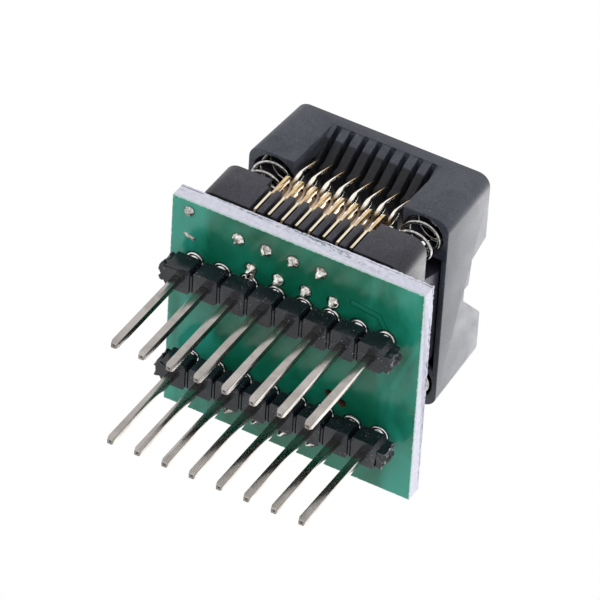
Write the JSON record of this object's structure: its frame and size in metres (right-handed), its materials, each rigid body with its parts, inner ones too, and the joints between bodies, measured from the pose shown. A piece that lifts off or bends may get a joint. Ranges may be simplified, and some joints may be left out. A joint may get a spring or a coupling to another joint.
{
  "type": "ic programming adapter",
  "caption": "Open-top spring-loaded test socket for a small-outline chip on a circuit board, with two long rows of square header pins below",
  "frame": {"origin": "at the level of the pin tips, in plan at the middle of the board", "axes": "+Z from the pin tips to the socket, X along the rows of pins, Y across them"},
  "size_m": [0.0232, 0.0216, 0.0307],
  "materials": {
    "circuit_board": "green solder mask over glass-fibre laminate, with rough pale cut edges",
    "header_plastic": "black moulded plastic, broken off at both ends",
    "solder": "bright solder",
    "pin_metal": "tin-plated square pins",
    "base_plastic": "black glass-filled plastic",
    "cover_plastic": "slate-black moulded plastic with faint flow marks",
    "contact_gold": "gold-plated stamped contacts",
    "spring_wire": "bright spring wire"
  },
  "bodies": {
    "root": {"board": "circuit_board", "header_strip_front": "header_plastic", "header_strip_back": "header_plastic", "pin_solder": "solder", "tail_solder": "solder", "via_solder": "solder", "socket_base": "base_plastic", "header_pin_front_1": "pin_metal", "header_pin_front_2": "pin_metal", "header_pin_front_3": "pin_metal", "header_pin_front_4": "pin_metal", "header_pin_front_5": "pin_metal", "header_pin_front_6": "pin_metal", "header_pin_front_7": "pin_metal", "header_pin_front_8": "pin_metal", "header_pin_back_1": "pin_metal", "header_pin_back_2": "pin_metal", "header_pin_back_3": "pin_metal", "header_pin_back_4": "pin_metal", "header_pin_back_5": "pin_metal", "header_pin_back_6": "pin_metal", "header_pin_back_7": "pin_metal", "header_pin_back_8": "pin_metal", "contact_front_1": "contact_gold", "contact_front_2": "contact_gold", "contact_front_3": "contact_gold", "contact_front_4": "contact_gold", "contact_front_5": "contact_gold", "contact_front_6": "contact_gold", "contact_front_7": "contact_gold", "contact_front_8": "contact_gold", "contact_back_1": "contact_gold", "contact_back_2": "contact_gold", "contact_back_3": "contact_gold", "contact_back_4": "contact_gold", "contact_back_5": "contact_gold", "contact_back_6": "contact_gold", "contact_back_7": "contact_gold", "contact_back_8": "contact_gold", "spring_left_front": "spring_wire", "spring_left_back": "spring_wire", "spring_right_front": "spring_wire", "spring_right_back": "spring_wire"},
    "cover": {"socket_cover": "cover_plastic"}
  },
  "joints": [
    {"name": "cover_press", "type": "slide", "parent": "root", "child": "cover", "axis": [0, 0, -1], "range_m": [0, 0.003], "stiffness_N_per_m": 3000, "springref_m": -0.0015, "deforming": ["spring_left_front", "spring_left_back", "spring_right_front", "spring_right_back"]}
  ]
}
